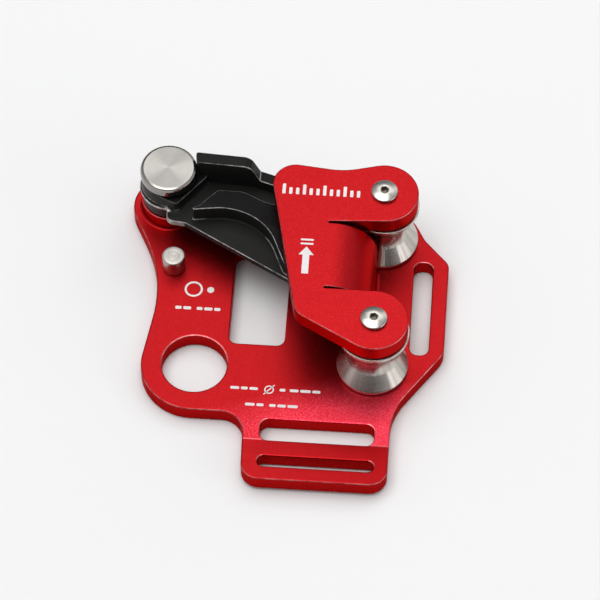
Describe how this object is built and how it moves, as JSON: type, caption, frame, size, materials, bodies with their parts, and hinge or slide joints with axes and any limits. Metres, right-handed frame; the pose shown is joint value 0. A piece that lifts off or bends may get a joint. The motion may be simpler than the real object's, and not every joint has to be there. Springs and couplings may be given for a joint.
{
  "type": "chest ascender",
  "caption": "Chest ascender for climbing rope: flat body folded round a rope channel, spring-loaded toothed cam, two grooved rollers, webbing slots and a connector hole.",
  "frame": {"origin": "centre of the body's outline, on the flat back face that lies against the user", "axes": "+Y along the rope, upwards in use; +Z out of the back plate towards the front plate; +X towards the wall that closes the rope channel"},
  "size_m": [0.0778, 0.085, 0.0264],
  "materials": {
    "red_anodised": "red anodised, bead blasted satin",
    "black_steel": "cast steel, satin black coating, edges slightly worn",
    "black_acetal": "black acetal",
    "stainless": "turned stainless steel",
    "bronze": "sintered bronze",
    "spring_steel": "drawn spring wire"
  },
  "bodies": {
    "frame": {"body": "red_anodised", "cam_pivot_pin": "stainless", "pivot_back_screw": "stainless", "pivot_washer": "stainless", "spring_cup": "black_acetal", "cam_spring": "spring_steel", "stop_pin": "stainless", "upper_roller_back_washer": "stainless", "upper_roller_front_washer": "stainless", "upper_axle": "stainless", "upper_axle_screw": "stainless", "lower_roller_back_washer": "stainless", "lower_roller_front_washer": "stainless", "lower_axle": "stainless", "lower_axle_screw": "stainless"},
    "cam": {"cam": "black_steel", "cam_bushing": "bronze"},
    "upper_roller": {"upper_roller": "stainless", "upper_roller_bushing": "bronze"},
    "lower_roller": {"lower_roller": "stainless", "lower_roller_bushing": "bronze"}
  },
  "joints": [
    {"name": "cam_pivot", "type": "hinge", "parent": "frame", "child": "cam", "pos_m": [-0.02995, 0.03355, 0.0127], "axis": [0, 0, 1], "range_deg": [-52, 0], "stiffness_Nm_per_rad": 0.02, "springref_deg": 22.92},
    {"name": "upper_roller_spin", "type": "hinge", "parent": "frame", "child": "upper_roller", "pos_m": [0.02255, 0.02675, 0.0124], "axis": [0, 0, 1], "continuous": true},
    {"name": "lower_roller_spin", "type": "hinge", "parent": "frame", "child": "lower_roller", "pos_m": [0.022, -0.0093, 0.0124], "axis": [0, 0, 1], "continuous": true}
  ]
}
